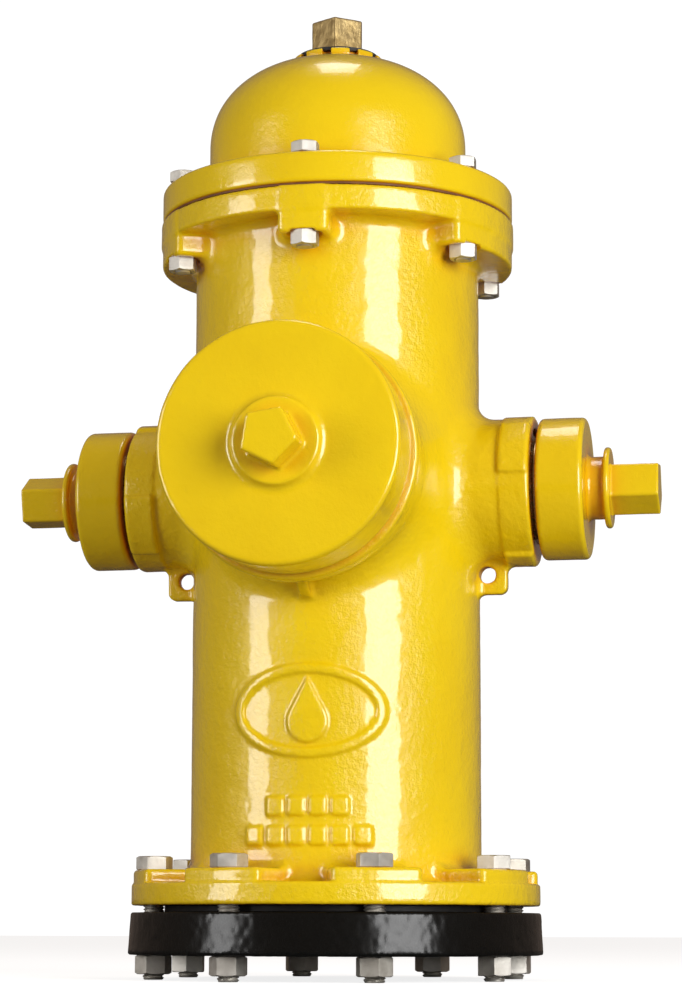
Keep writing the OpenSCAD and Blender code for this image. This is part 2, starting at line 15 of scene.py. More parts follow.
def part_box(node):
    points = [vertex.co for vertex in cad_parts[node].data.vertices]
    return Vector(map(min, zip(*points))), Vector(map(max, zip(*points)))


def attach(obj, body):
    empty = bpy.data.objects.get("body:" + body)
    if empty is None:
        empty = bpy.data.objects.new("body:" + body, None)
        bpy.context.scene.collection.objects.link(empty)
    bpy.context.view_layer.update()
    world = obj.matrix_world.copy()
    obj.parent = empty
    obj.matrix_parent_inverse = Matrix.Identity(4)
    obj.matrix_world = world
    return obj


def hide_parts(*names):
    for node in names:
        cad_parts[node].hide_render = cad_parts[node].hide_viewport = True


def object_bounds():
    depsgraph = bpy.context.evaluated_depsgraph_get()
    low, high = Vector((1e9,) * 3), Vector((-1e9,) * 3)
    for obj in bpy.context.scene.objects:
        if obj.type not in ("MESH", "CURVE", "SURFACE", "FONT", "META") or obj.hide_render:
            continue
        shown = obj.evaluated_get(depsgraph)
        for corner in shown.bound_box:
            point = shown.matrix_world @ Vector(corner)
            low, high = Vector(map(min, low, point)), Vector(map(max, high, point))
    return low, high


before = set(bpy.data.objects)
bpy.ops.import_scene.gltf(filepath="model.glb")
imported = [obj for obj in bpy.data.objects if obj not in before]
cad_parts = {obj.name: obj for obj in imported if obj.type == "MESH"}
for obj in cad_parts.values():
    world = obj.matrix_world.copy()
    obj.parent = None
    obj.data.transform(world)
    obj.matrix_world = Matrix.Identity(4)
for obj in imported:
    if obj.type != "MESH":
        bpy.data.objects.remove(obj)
cad_low, cad_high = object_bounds()
MM = 0.001


def node_box(node):
    """A CAD node's lowest and highest corners, in millimetres."""
    low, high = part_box(node)
    return np.array(low) / MM, np.array(high) / MM


# ---- Camera ----

CAMERA_AZIMUTH = math.radians(11.14)
CAMERA_DISTANCE = 2.0728
CAMERA_HEIGHT = 0.019
CAMERA_PITCH = math.radians(8.90)
CAMERA_YAW = math.radians(-0.085)
CAMERA_ROLL = math.radians(-0.13)
CAMERA_LENS = 98.66
SENSOR_HEIGHT = 36.0


def make_camera():
    heading = CAMERA_AZIMUTH + CAMERA_YAW
    level = Vector((-math.sin(heading), math.cos(heading), 0))
    forward = level * math.cos(CAMERA_PITCH) + Vector((0, 0, math.sin(CAMERA_PITCH)))
    right = level.cross(Vector((0, 0, 1))).normalized()
    up = right.cross(forward)
    c, s = math.cos(CAMERA_ROLL), math.sin(CAMERA_ROLL)
    right, up = right * c - up * s, right * s + up * c
    data = bpy.data.cameras.new("camera")
    data.sensor_fit = "VERTICAL"
    data.sensor_height = SENSOR_HEIGHT
    data.lens = CAMERA_LENS
    camera = bpy.data.objects.new("camera", data)
    spin = Matrix((right, up, -forward)).transposed().to_4x4()
    place = Vector((math.sin(CAMERA_AZIMUTH), -math.cos(CAMERA_AZIMUTH), 0)) * CAMERA_DISTANCE
    camera.matrix_world = Matrix.Translation(place + Vector((0, 0, CAMERA_HEIGHT))) @ spin
    bpy.context.scene.collection.objects.link(camera)
    bpy.context.scene.camera = camera


make_camera()


# ---- Materials ----

def new_material(name):
    """A material with its Principled shader, node list and link list."""
    material = bpy.data.materials.new(name)
    material.use_nodes = True
    tree = material.node_tree
    return material, tree, tree.nodes["Principled BSDF"]


def noise(tree, scale, detail=3.0, roughness=0.5, stretch=None):
    """Noise at so many waves per metre, the same on every side of a piece."""
    place = tree.nodes.new("ShaderNodeTexCoord").outputs["Object"]
    if stretch:
        mapping = tree.nodes.new("ShaderNodeMapping")
        mapping.inputs["Scale"].default_value = stretch
        tree.links.new(place, mapping.inputs["Vector"])
        place = mapping.outputs["Vector"]
    node = tree.nodes.new("ShaderNodeTexNoise")
    node.inputs["Scale"].default_value = scale
    node.inputs["Detail"].default_value = detail
    node.inputs["Roughness"].default_value = roughness
    tree.links.new(place, node.inputs["Vector"])
    return node.outputs["Fac"]


def ramp(tree, source, stops):
    """A colour ramp over source; stops are (position, colour) or (position, value)."""
    node = tree.nodes.new("ShaderNodeValToRGB")
    elements = node.color_ramp.elements
    while len(elements) < len(stops):
        elements.new(0.5)
    for element, (position, value) in zip(elements, stops):
        element.position = position
        element.color = (*value, 1) if isinstance(value, tuple) else (value, value, value, 1)
    tree.links.new(source, node.inputs["Fac"])
    return node.outputs["Color"]


def bumps(tree, shader, layers):
    """Chains bump layers, each (height source, distance in metres, strength), into the shader's normal."""
    normal = None
    for height, distance, strength in layers:
        node = tree.nodes.new("ShaderNodeBump")
        node.inputs["Distance"].default_value = distance
        node.inputs["Strength"].default_value = strength
        tree.links.new(height, node.inputs["Height"])
        if normal is not None:
            tree.links.new(normal, node.inputs["Normal"])
        normal = node.outputs["Normal"]
    tree.links.new(normal, shader.inputs["Normal"])


def enamel(name, cast_depth, orange_peel):
    """Chrome-yellow gloss enamel brushed and sprayed over cast iron, with painted shade: ambient occlusion
    darkens and browns its colour in recesses.
    """
    material, tree, shader = new_material(name)
    patches = ramp(tree, noise(tree, 9, 4, 0.55), [
        (0.30, (0.830, 0.560, 0.0030)),
        (0.52, (0.870, 0.608, 0.0040)),
        (0.75, (0.890, 0.632, 0.0050)),
    ])
    # Painted shade: where ambient occlusion finds recesses and creases, the yellow is multiplied darker and
    # browner.
    painted_shade_ao = tree.nodes.new("ShaderNodeAmbientOcclusion")
    painted_shade_ao.samples = 6
    painted_shade_ao.inputs["Distance"].default_value = 0.02
    shade = ramp(tree, painted_shade_ao.outputs["AO"], [(0.25, (0.80, 0.40, 0.45)), (0.88, (1.0, 1.0, 1.0))])
    mix = tree.nodes.new("ShaderNodeMix")
    mix.data_type = "RGBA"
    mix.blend_type = "MULTIPLY"
    mix.inputs["Factor"].default_value = 1.0
    tree.links.new(patches, mix.inputs["A"])
    tree.links.new(shade, mix.inputs["B"])
    tree.links.new(mix.outputs["Result"], shader.inputs["Base Color"])
    gloss = ramp(tree, noise(tree, 60, 3, 0.6), [(0.3, 0.14), (0.7, 0.22)])
    tree.links.new(gloss, shader.inputs["Roughness"])
    shader.inputs["IOR"].default_value = 1.42
    shader.inputs["Coat Weight"].default_value = 0.8
    shader.inputs["Coat Roughness"].default_value = 0.08
    bumps(tree, shader, [
        (noise(tree, 55, 2, 0.5), 0.0022 * cast_depth, 0.55),
        (noise(tree, 260, 4, 0.65), 0.0011 * cast_depth, 0.75),
        (noise(tree, 800, 2, 0.5), 0.00022 * orange_peel, 0.6),
    ])
    return material


def black_enamel():
    """Thick black gloss over coarse cast iron."""
    material, tree, shader = new_material("black_enamel")
    colour = ramp(tree, noise(tree, 40, 4, 0.6), [
        (0.3, (0.0008, 0.0014, 0.0011)),
        (0.8, (0.0030, 0.0038, 0.0032)),
    ])
    tree.links.new(colour, shader.inputs["Base Color"])
    shader.inputs["Specular IOR Level"].default_value = 0.05
    gloss = ramp(tree, noise(tree, 90, 3, 0.6), [(0.3, 0.38), (0.75, 0.55)])
    tree.links.new(gloss, shader.inputs["Roughness"])
    shader.inputs["Coat Weight"].default_value = 0.6
    shader.inputs["Coat Roughness"].default_value = 0.19
    bumps(tree, shader, [
        (noise(tree, 70, 3, 0.6), 0.004, 0.5),
        (noise(tree, 420, 5, 0.75), 0.0042, 1.0),
        (noise(tree, 1100, 3, 0.6), 0.0009, 0.9),
    ])
    return material


def metal(name, dark, light, rough, grain, stretch=(1, 1, 1), grain_depth=0.0003, patch=35):
    """A bare metal: two tones in patches, a pair of roughnesses and a grain in waves per metre."""
    material, tree, shader = new_material(name)
    colour = ramp(tree, noise(tree, patch, 5, 0.65), [(0.32, dark), (0.68, light)])
    tree.links.new(colour, shader.inputs["Base Color"])
    shader.inputs["Metallic"].default_value = 1.0
    gloss = ramp(tree, noise(tree, grain / 3, 4, 0.6, stretch), [(0.3, rough[0]), (0.7, rough[1])])
    tree.links.new(gloss, shader.inputs["Roughness"])
    bumps(tree, shader, [(noise(tree, grain, 4, 0.65, stretch), grain_depth, 0.6)])
    return material


def dull(name, dark, light, roughness, grain, depth):
    """Rubber, plastic or raw iron: a matt surface with a fine grain."""
    material, tree, shader = new_material(name)
    colour = ramp(tree, noise(tree, 60, 4, 0.6), [(0.3, dark), (0.7, light)])
    tree.links.new(colour, shader.inputs["Base Color"])
    gloss = ramp(tree, noise(tree, 120, 3, 0.6), [(0.3, roughness - 0.08), (0.7, roughness + 0.08)])
    tree.links.new(gloss, shader.inputs["Roughness"])
    bumps(tree, shader, [(noise(tree, grain, 4, 0.65), depth, 0.6)])
    return material


ROUGH_CAST = enamel("yellow_enamel_rough_cast", 1.0, 1.0)
SMOOTH_CAST = enamel("yellow_enamel_smooth_cast", 0.45, 1.0)
BLACK = black_enamel()
ZINC = metal("zinc_plate", (0.46, 0.44, 0.39), (0.76, 0.74, 0.69), (0.50, 0.66), 420)
RAW_BRONZE = metal("raw_bronze", (0.36, 0.25, 0.095), (0.62, 0.47, 0.22), (0.34, 0.55), 380,
                   (1, 1, 0.25), 0.0005, 55)
BRONZE = metal("machined_bronze", (0.50, 0.36, 0.15), (0.66, 0.50, 0.24), (0.20, 0.34), 700)
STEEL = metal("machined_steel", (0.36, 0.36, 0.36), (0.50, 0.50, 0.50), (0.22, 0.38), 600)
IRON = dull("machined_iron", (0.075, 0.066, 0.058), (0.13, 0.115, 0.10), 0.5, 500, 0.0004)
RUBBER = dull("rubber", (0.010, 0.010, 0.010), (0.022, 0.021, 0.020), 0.55, 900, 0.0002)
SEAM_RUBBER = dull("seam_gasket", (0.12, 0.042, 0.010), (0.22, 0.085, 0.018), 0.6, 900, 0.0002)
WASHER = dull("low_friction_plastic", (0.52, 0.44, 0.28), (0.62, 0.54, 0.36), 0.35, 700, 0.0002)


# ---- Meshes ----

def make_object(name, points, faces, material, body, slot, replaced=(), matrix=None, smooth_angle=None):
    """An object from points in millimetres and quads, placed on its body."""
    mesh = bpy.data.meshes.new(name)
    points = np.asarray(points, np.float64)
    faces = np.asarray(faces, np.int32)
    size = faces.shape[1]
    mesh.vertices.add(len(points))
    mesh.vertices.foreach_set("co", (points * MM).astype(np.float32).ravel())
    mesh.loops.add(faces.size)
    mesh.loops.foreach_set("vertex_index", faces.ravel())
    mesh.polygons.add(len(faces))
    mesh.polygons.foreach_set("loop_start", np.arange(0, faces.size, size, dtype=np.int32))
    mesh.update(calc_edges=True)
    mesh.validate()
    if matrix is not None:
        mesh.transform(matrix)
    mesh.polygons.foreach_set("use_smooth", np.ones(len(mesh.polygons), bool))
    mesh.materials.append(material)
    if smooth_angle is not None:
        mesh.set_sharp_from_angle(angle=math.radians(smooth_angle))
    obj = bpy.data.objects.new(name, mesh)
    bpy.context.scene.collection.objects.link(obj)
    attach(obj, body)
    if replaced:
        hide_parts(*replaced)
    return obj


# Value noise on a lattice, for the casting's real unevenness

def lattice_value(ix, iy, iz, seed):
    """A repeatable value from -1 to 1 for each lattice point."""
    h = (ix.astype(np.uint32) * np.uint32(374761393) + iy.astype(np.uint32) * np.uint32(668265263)
         + iz.astype(np.uint32) * np.uint32(2147483647) + np.uint32(seed * 97531))
    h = (h ^ (h >> np.uint32(13))) * np.uint32(1274126177)
    h = h ^ (h >> np.uint32(16))
    return (h & np.uint32(0xFFFF)).astype(np.float32) / 32767.5 - 1.0


def value_noise(points, wave, seed):
    """Smooth noise from -1 to 1 with the given wavelength in millimetres."""
    p = points / wave + 1000.0
    cell = np.floor(p).astype(np.int64)
    f = (p - cell).astype(np.float32)
    f = f * f * (3 - 2 * f)
    total = np.zeros(len(points), np.float32)
    for dx in (0, 1):
        for dy in (0, 1):
            for dz in (0, 1):
                weight = (np.where(dx, f[:, 0], 1 - f[:, 0]) * np.where(dy, f[:, 1], 1 - f[:, 1])
                          * np.where(dz, f[:, 2], 1 - f[:, 2]))
                total += weight * lattice_value(cell[:, 0] + dx, cell[:, 1] + dy, cell[:, 2] + dz, seed)
    return total


# Distance fields: negative inside, in millimetres. Joins are round fillets of the given radius.

def join(a, b, r):
    """a and b together, with a fillet between them."""
    return np.maximum(r, np.minimum(a, b)) - np.hypot(np.maximum(r - a, 0), np.maximum(r - b, 0))


def meet(a, b, r):
    """What a and b share, with its new edge rounded."""
    return -join(-a, -b, r)


def cut(a, b, r):
    """a without b, with the new edge rounded."""
    return -join(-a, b, r)


def slab(v, low, high):
    """The space between two planes."""
    return np.maximum(low - v, v - high)


def disc(rho, v, radius, low, high, r):
    """A cylinder with rounded rims."""
    return meet(rho - radius, slab(v, low, high), r)


def solid_mesh(field, low, high, voxel):
    """Points and quads of a field's surface.

    Only coarse blocks near the surface are sampled. The rest keep the sign at their centre.
    """
    block = 10
    low = np.asarray(low, float) - 3 * voxel
    count = np.ceil((np.asarray(high, float) + 3 * voxel - low) / (voxel * block)).astype(int)
    index = np.stack(np.meshgrid(*[np.arange(c) for c in count], indexing="ij"), -1).reshape(-1, 3)
    centres = low + (index * block + (block - 1) / 2) * voxel
    rough = field(*[centres[:, i].astype(np.float32) for i in range(3)])
    reach = block * voxel * 0.5 * math.sqrt(3) * 1.35 + 2 * voxel
    near = np.abs(rough) < reach
    far_value = np.float32(3 * voxel)
    blocks = np.empty((len(index), block, block, block), np.float32)
    blocks[:] = (np.sign(rough) * far_value)[:, None, None, None]
    steps = np.stack(np.meshgrid(*[np.arange(block)] * 3, indexing="ij"), -1).reshape(-1, 3) * voxel
    chosen = np.nonzero(near)[0]
    for start in range(0, len(chosen), 600):
        part = chosen[start:start + 600]
        p = (low + index[part] * block * voxel)[:, None, :] + steps[None]
        p = p.reshape(-1, 3).astype(np.float32)
        values = field(p[:, 0], p[:, 1], p[:, 2])
        blocks[part] = np.clip(values, -far_value, far_value).reshape(-1, block, block, block)
    nx, ny, nz = count
    dense = blocks.reshape(nx, ny, nz, block, block, block).transpose(0, 3, 1, 4, 2, 5)
    dense = np.ascontiguousarray(dense.reshape(nx * block, ny * block, nz * block))
    grid = openvdb.FloatGrid(float(far_value))
    grid.copyFromArray(dense)
    points, quads = grid.convertToQuads()
    points = points.astype(np.float64) * voxel + low
    return settle(field, points, voxel), quads.astype(np.int32)


def gradient(field, points, step=0.15):
    p = points.astype(np.float32)
    g = np.empty_like(points)
    for axis in range(3):
        shift = np.zeros(3, np.float32)
        shift[axis] = step
        g[:, axis] = field(*(p + shift).T) - field(*(p - shift).T)
    return g / (2 * step)


def settle(field, points, voxel):
    """Moves each point onto the field's surface."""
    for _ in range(2):
        d = field(*points.astype(np.float32).T)
        g = gradient(field, points)
        length2 = np.maximum((g * g).sum(1), 0.25)
        points = points - g * (np.clip(d, -0.6 * voxel, 0.6 * voxel) / length2)[:, None]
    return points


def roughen(field, points, layers):
    """Pushes points along their normals by layers of (wavelength, height, seed)."""
    g = gradient(field, points, 0.6)
    g /= np.maximum(np.linalg.norm(g, axis=1), 1e-6)[:, None]
    height = sum(size * value_noise(points, wave, seed) for wave, size, seed in layers)
    return points + g * height[:, None]


# Unevenness of the castings: (wavelength, height, seed), in millimetres
CAST_LAYERS = ((34.0, 0.16, 3), (11.0, 0.10, 5), (4.5, 0.07, 7))
SMOOTH_LAYERS = ((40.0, 0.10, 11), (12.0, 0.05, 13))
RING_LAYERS = ((30.0, 0.18, 21), (9.0, 0.16, 23), (3.6, 0.13, 25))
CAP_LAYERS = ((26.0, 0.12, 31), (9.0, 0.07, 33), (4.0, 0.04, 35))
CASTLE_LAYERS = ((12.0, 0.05, 41), (4.0, 0.04, 43))
RAW_BRONZE_LAYERS = ((14.0, 0.22, 51), (5.0, 0.16, 53), (2.4, 0.07, 55))


def cast_object(name, field, low, high, voxel, layers, material, body, slot, replaced):
    """A casting: its field meshed, roughened and kept inside its CAD box."""
    points, quads = solid_mesh(field, low, high, voxel)
    points = np.clip(roughen(field, points, layers), low, high)
    return make_object(name, points, quads, material, body, slot, replaced)


# ---- The barrel casting ----

barrel_low, barrel_high = node_box("barrel")
ring_low, ring_high = node_box("break_ring")
BASE_Z = barrel_low[2]
BARREL_TOP = barrel_high[2]
BARREL_R = 109.0
BORE_R = 98.0
BASE_FLANGE_R = 152.7
BASE_FLANGE_TOP = BASE_Z + 16.0
BASE_PAD_TOP = BASE_Z + 26.0
SEAM_FLANGE_R = 135.4
BOSS_Z = BARREL_TOP - 34.7
THIN_Z = BARREL_TOP - 18.2
HALF_BOSS = 19.0
HOSE_Z = 347.0
PUMPER_Z = 351.0
HOSE_BOSS_R = 54.0
HOSE_BAND_R = 55.4
HOSE_FACE = barrel_high[0]
HOSE_PAD_X = HOSE_FACE - 23.0
HOSE_PAD_R = 58.0
HOSE_PAD_HALF_ANGLE = 25
HOSE_ROOT = 60.0
PUMPER_NECK_R = 84.0
PUMPER_RING_R = 90.0
PUMPER_FACE = -barrel_low[1]
PUMPER_RING_BACK = 149.0
PUMPER_ROOT = 40.0
HOSE_BODY_BORE_R = 41.0
HOSE_LUG_BORE_R = 46.4
PUMPER_BODY_BORE_R = 75.5
PUMPER_LUG_BORE_R = 81.2
LUG_ROOM = (-16.0, -6.0)
LUG_SLOT = (-15.0, 5.0)
LUG_SLOT_HALF_ANGLE = 28
LUG_SLOT_FIRST = 60
GASKET_SEAT_R = 112.6
GASKET_SEAT_DEPTH = 8.2
BASE_BOLT_CIRCLE_R = 137.0
BASE_HOLE_R = 8.75
BASE_PAD_HALF_WIDTH = 16.0
BASE_PAD_SPREAD = 0.115
BASE_PAD_ROOT = 60.0
BONNET_BOLT_CIRCLE_R = 124.3
BONNET_HOLE_R = 7.15
BASE_BOLTS = [math.radians(22.5 + 45 * i) for i in range(8)]
BONNET_BOLTS = [math.radians(-90 + 60 * i) for i in range(6)]
EYE_X = 116.5
EYE_HOLE_R = 6.2
EYE_Z = HOSE_Z - 64.4
EYE_REACH = 131.3
EYE_BOTTOM = 14.6
EYE_TOP = 22.0
EYE_HALF_THICKNESS = 4.5
LUG_ROOT = 95.0
WEB_Z = PUMPER_Z - 96.0
WEB_HEIGHT = 22.0
WEB_FOOT = 122.0
WEB_REACH = 141.0
WEB_SLOPE = math.radians(35)
WEB_HALF_THICKNESS = 4.0
SPOT_FACE_R = 12.6
SPOT_FACE_Z = BOSS_Z + 2.0
OVAL = (56.0, 33.75)
OVAL_LINE = 6.8
OVAL_Z = 174.25
RELIEF = 2.3
DROP_R = 15.0
DROP_CENTRE = -8.0
DROP_TIP = 24.0
BAR = (12.5, 13.5)
BAR_PITCH = 16.0
BAR_ROWS = ((4, -75.0), (6, -96.0))


def along(x, y, angle):
    """Distances along and across a direction in plan."""
    c, s = math.cos(angle), math.sin(angle)
    return x * c + y * s, y * c - x * s


def only_where(inside):
    """Added to a cut's field, it keeps the cut to one region."""
    return np.where(inside, 0.0, 400.0).astype(np.float32)


def holes(d, x, y, angles, circle_r, hole_r, region=0.0):
    """d with upright holes on a circle."""
    for angle in angles:
        u, v = along(x, y, angle)
        d = cut(d, np.hypot(u - circle_r, v) - hole_r + region, 0.8)
    return d


def three_sectors(a, b, rho, v, r_out, half_angle, first, low, high, r):
    """Three sectors about an outlet's axis, each half_angle degrees to either side of its middle."""
    span = slab(v, low, high)
    out = None
    for i in range(3):
        u, w = along(a, b, math.radians(first + 120 * i))
        side = np.abs(w) * math.cos(math.radians(half_angle)) - u * math.sin(math.radians(half_angle))
        piece = meet(meet(rho - r_out, side, r), span, r)
        out = piece if out is None else np.minimum(out, piece)
    return out


def seam_flange(x, y, z, rho):
    """The flange under the bonnet: thin in four pockets, deep at the bolts and over the hose outlets."""
    thin = disc(rho, z, SEAM_FLANGE_R, THIN_Z, BARREL_TOP, 1.6)
    reach = np.abs(x) * 0.5 - np.abs(y) * math.cos(math.radians(30))
    plan = -reach
    for angle in BONNET_BOLTS:
        u, v = along(x, y, angle)
        plan = np.minimum(plan, np.maximum(np.abs(v) - HALF_BOSS, -u))
    deep = meet(rho - SEAM_FLANGE_R + 0.3, slab(z, BOSS_Z, BARREL_TOP), 2.5)
    deep = meet(deep, plan, 4.0)
    return join(thin, deep, 3.5)


def base_flange(x, y, z, rho):
    """The base flange with a raised pad under each bolt."""
    flange = disc(rho, z, BASE_FLANGE_R, BASE_Z, BASE_FLANGE_TOP, 1.8)
    pads = None
    for angle in BASE_BOLTS:
        u, v = along(x, y, angle)
        side = np.abs(v) - (BASE_PAD_HALF_WIDTH + BASE_PAD_SPREAD * u)
        side = np.maximum(side, BASE_PAD_ROOT - u)
        pads = side if pads is None else np.minimum(pads, side)
    pads = meet(meet(rho - BASE_FLANGE_R + 1.5, pads, 4.0), slab(z, BASE_Z + 1, BASE_PAD_TOP), 3.0)
    return join(flange, pads, 1.0)


def chain_eye(u, v, h, wall):
    """Joins a lug in a radial plane to the wall: u is out from the axis, v across, h above the hole."""
    plate = meet(u - EYE_REACH, slab(h, -EYE_BOTTOM, EYE_TOP), 6.0)
    plate = meet(plate, np.abs(v) - EYE_HALF_THICKNESS, 1.4)
    return join(wall, np.maximum(plate, LUG_ROOT - u), 6.0)


def pumper_web(u, v, z, wall):
    """Joins the short web under the pumper outlet to the wall and the neck."""
    slope = (u - WEB_FOOT) * math.sin(WEB_SLOPE) - (z - WEB_Z - 1.0) * math.cos(WEB_SLOPE)
    plate = meet(meet(WEB_Z - z, slope, 6.0), np.abs(v) - WEB_HALF_THICKNESS, 1.4)
    ends = np.maximum(z - WEB_Z - WEB_HEIGHT, u - WEB_REACH)
    plate = np.maximum(np.maximum(plate, LUG_ROOT - u), ends)
    return join(wall, plate, 4.0)


def relief(x, y, z, rho):
    """Raised oval rim, plain drop and plain bars, laid on the barrel's front."""
    u, v = x, z - OVAL_Z
    a, b = OVAL[0] - OVAL_LINE / 2, OVAL[1] - OVAL_LINE / 2
    ratio = np.hypot(u / a, v / b)
    slope = np.hypot(u / a ** 2, v / b ** 2) / np.maximum(ratio, 1e-4)
    rim = np.abs((ratio - 1) / np.maximum(slope, 1e-5)) - OVAL_LINE / 2
    drop = np.hypot(u, v - DROP_CENTRE) - DROP_R
    tilt = math.asin(DROP_R / (DROP_TIP - DROP_CENTRE))
    sides = np.abs(u) * math.cos(tilt) + (v - DROP_TIP) * math.sin(tilt)
    tip = np.maximum(sides, -(v - DROP_CENTRE) + DROP_R * math.sin(tilt))
    shape = np.minimum(rim, join(drop, tip, 0.5))
    for count, low in BAR_ROWS:
        first = (count - 1) / 2
        place = np.clip(np.round(u / BAR_PITCH + first), 0, count - 1) - first
        bar = meet(np.abs(u - place * BAR_PITCH) - BAR[0] / 2, slab(v, low, low + BAR[1]), 2.2)
        shape = np.minimum(shape, bar)
    raised = meet(shape, rho - BARREL_R - RELIEF, 1.7)
    return np.maximum(np.maximum(raised, BARREL_R - 8 - rho), y + 40)


def outlets(d, tube, far, neck, out, up_side, y):
    """Joins the two hose outlets and the pumper outlet to the barrel."""
    branch = meet(tube - HOSE_BOSS_R, slab(far, HOSE_ROOT, HOSE_FACE), 1.6)
    branch = np.maximum(branch, HOSE_ROOT - far)
    band = disc(tube, far, HOSE_BAND_R, HOSE_PAD_X, HOSE_FACE - 0.5, 1.2)
    pads = three_sectors(up_side, y, tube, far, HOSE_PAD_R, HOSE_PAD_HALF_ANGLE, 0,
                         HOSE_PAD_X, HOSE_FACE - 1, 2.2)
    d = join(d, branch, 15.0)
    d = join(join(d, band, 0.9), pads, 1.8)
    branch = meet(neck - PUMPER_NECK_R, slab(out, PUMPER_ROOT, PUMPER_FACE), 1.6)
    branch = np.maximum(branch, PUMPER_ROOT - out)
    ring = disc(neck, out, PUMPER_RING_R, PUMPER_RING_BACK, PUMPER_FACE - 1, 2.4)
    return join(join(d, branch, 19.0), ring, 3.0)


def lug_room(d, a, b, rho, v, radius, face):
    """Cuts the room that a nozzle's lugs turn in, and the three slots they enter by."""
    d = np.maximum(d, -disc(rho, v, radius, face + LUG_ROOM[0], face + LUG_ROOM[1], 0.6))
    slots = three_sectors(a, b, rho, v, radius, LUG_SLOT_HALF_ANGLE, LUG_SLOT_FIRST,
                          face + LUG_SLOT[0], face + LUG_SLOT[1], 0.6)
    return cut(d, slots, 0.8)


def bolt_holes(d, x, y, z):
    """Cuts the bolt holes of both flanges and the nuts' spot faces under the upper one."""
    d = holes(d, x, y, BASE_BOLTS, BASE_BOLT_CIRCLE_R, BASE_HOLE_R, only_where(z < 200))
    upper = only_where(z > 500)
    for angle in BONNET_BOLTS:
        u, v = along(x, y, angle)
        bolt = np.hypot(u - BONNET_BOLT_CIRCLE_R, v)
        d = cut(d, bolt - BONNET_HOLE_R + upper, 0.8)
        d = cut(d, np.maximum(bolt - SPOT_FACE_R, slab(z, BOSS_Z - 14, SPOT_FACE_Z)), 0.6)
    return d


def barrel_field(x, y, z):
    rho = np.hypot(x, y)
    d = meet(rho - BARREL_R, slab(z, BASE_Z, BARREL_TOP), 1.0)
    d = join(d, relief(x, y, z, rho), 1.8)
    d = join(d, base_flange(x, y, z, rho), 8.0)
    d = join(d, seam_flange(x, y, z, rho), 8.0)

    # Axes of the hose outlets (tube, far) and of the pumper outlet (neck, out)
    h, k = z - HOSE_Z, z - PUMPER_Z
    tube, far = np.hypot(y, h), np.abs(x)
    neck, out = np.hypot(x, k), -y
    up_side = -h * np.sign(x)
    d = outlets(d, tube, far, neck, out, up_side, y)
    d = chain_eye(far, y, z - EYE_Z, d)
    d = pumper_web(out, x, z, d)

    d = cut(d, rho - BORE_R, 2.0)
    d = cut(d, np.maximum(tube - HOSE_BODY_BORE_R, HOSE_ROOT - far), 1.2)
    d = cut(d, np.maximum(neck - PUMPER_BODY_BORE_R, PUMPER_ROOT + 5 - out), 1.2)
    d = lug_room(d, up_side, y, tube, far, HOSE_LUG_BORE_R, HOSE_FACE)
    d = lug_room(d, x, k, neck, out, PUMPER_LUG_BORE_R, PUMPER_FACE)
    d = cut(d, np.maximum(np.hypot(far - EYE_X, z - EYE_Z) - EYE_HOLE_R, np.abs(y) - 12), 1.0)
    d = bolt_holes(d, x, y, z)
    seat = disc(rho, z, GASKET_SEAT_R, BARREL_TOP - GASKET_SEAT_DEPTH, BARREL_TOP + 20, 0.4)
    return np.maximum(d, -seat)


cast_object("barrel_casting", barrel_field, barrel_low, barrel_high, 1.8, CAST_LAYERS,
            ROUGH_CAST, "hydrant_body", "yellow_enamel", ["barrel"])


# ---- The bonnet casting ----

bonnet_low, bonnet_high = node_box("bonnet")
BONNET_Z = bonnet_low[2]
BONNET_FLANGE_TOP = BONNET_Z + 24.2
DOME_R = 99.5
DOME_Z = 618.0
DOME_RISE = 72.0
DOME_POWER = 2.2
DOME_WALL = 9.5
DOME_ROOF = 11.5
HUB_R = 42.0
HUB_LOW = 641.0
NUT_BORE_R = 24.0
HOLD_DOWN_BORE_R = 30.3
HOLD_DOWN_SEAT = 655.0
SEAL_BORE_R = 32.7
SEAL_SEAT = 669.3


def dome(rho, z, radius, rise):
    """A straight wall under a slightly squared ellipse."""
    h = np.maximum(z - DOME_Z, 0) / rise
    q = np.power(np.maximum(rho, 0) / radius, DOME_POWER) + np.power(h, DOME_POWER)
    size = np.power(np.maximum(q, 1e-6), 1 / DOME_POWER)
    gx = np.power(np.maximum(rho, 1e-3) / radius / size, DOME_POWER - 1) / radius
    gz = np.power(np.maximum(h, 1e-6) / size, DOME_POWER - 1) / rise
    return (size - 1) / np.maximum(np.hypot(gx, gz), 1e-4)


def bonnet_field(x, y, z):
    rho = np.hypot(x, y)
    d = np.maximum(dome(rho, z, DOME_R, DOME_RISE), BONNET_Z + 2 - z)
    d = join(d, disc(rho, z, SEAM_FLANGE_R, BONNET_Z, BONNET_FLANGE_TOP, 3.6), 7.0)
    inside = dome(rho, z, DOME_R - DOME_WALL, DOME_RISE - DOME_ROOF)
    hub = meet(rho - HUB_R, HUB_LOW - z, 3.0)
    d = cut(d, cut(inside, hub, 4.0), 1.0)
    d = np.maximum(d, NUT_BORE_R - rho)
    d = np.maximum(d, -np.maximum(rho - HOLD_DOWN_BORE_R, HOLD_DOWN_SEAT - z))
    d = np.maximum(d, -np.maximum(rho - SEAL_BORE_R, SEAL_SEAT - z))
    d = np.maximum(d, z - bonnet_high[2])
    d = np.maximum(d, -np.maximum(rho - GASKET_SEAT_R, z - BONNET_Z - 4.4))
    return holes(d, x, y, BONNET_BOLTS, BONNET_BOLT_CIRCLE_R, BONNET_HOLE_R, only_where(z < 600))


cast_object("bonnet_casting", bonnet_field, bonnet_low, bonnet_high, 1.6, SMOOTH_LAYERS,
            SMOOTH_CAST, "hydrant_body", "yellow_enamel", ["bonnet"])


# ---- Turned and threaded pieces ----

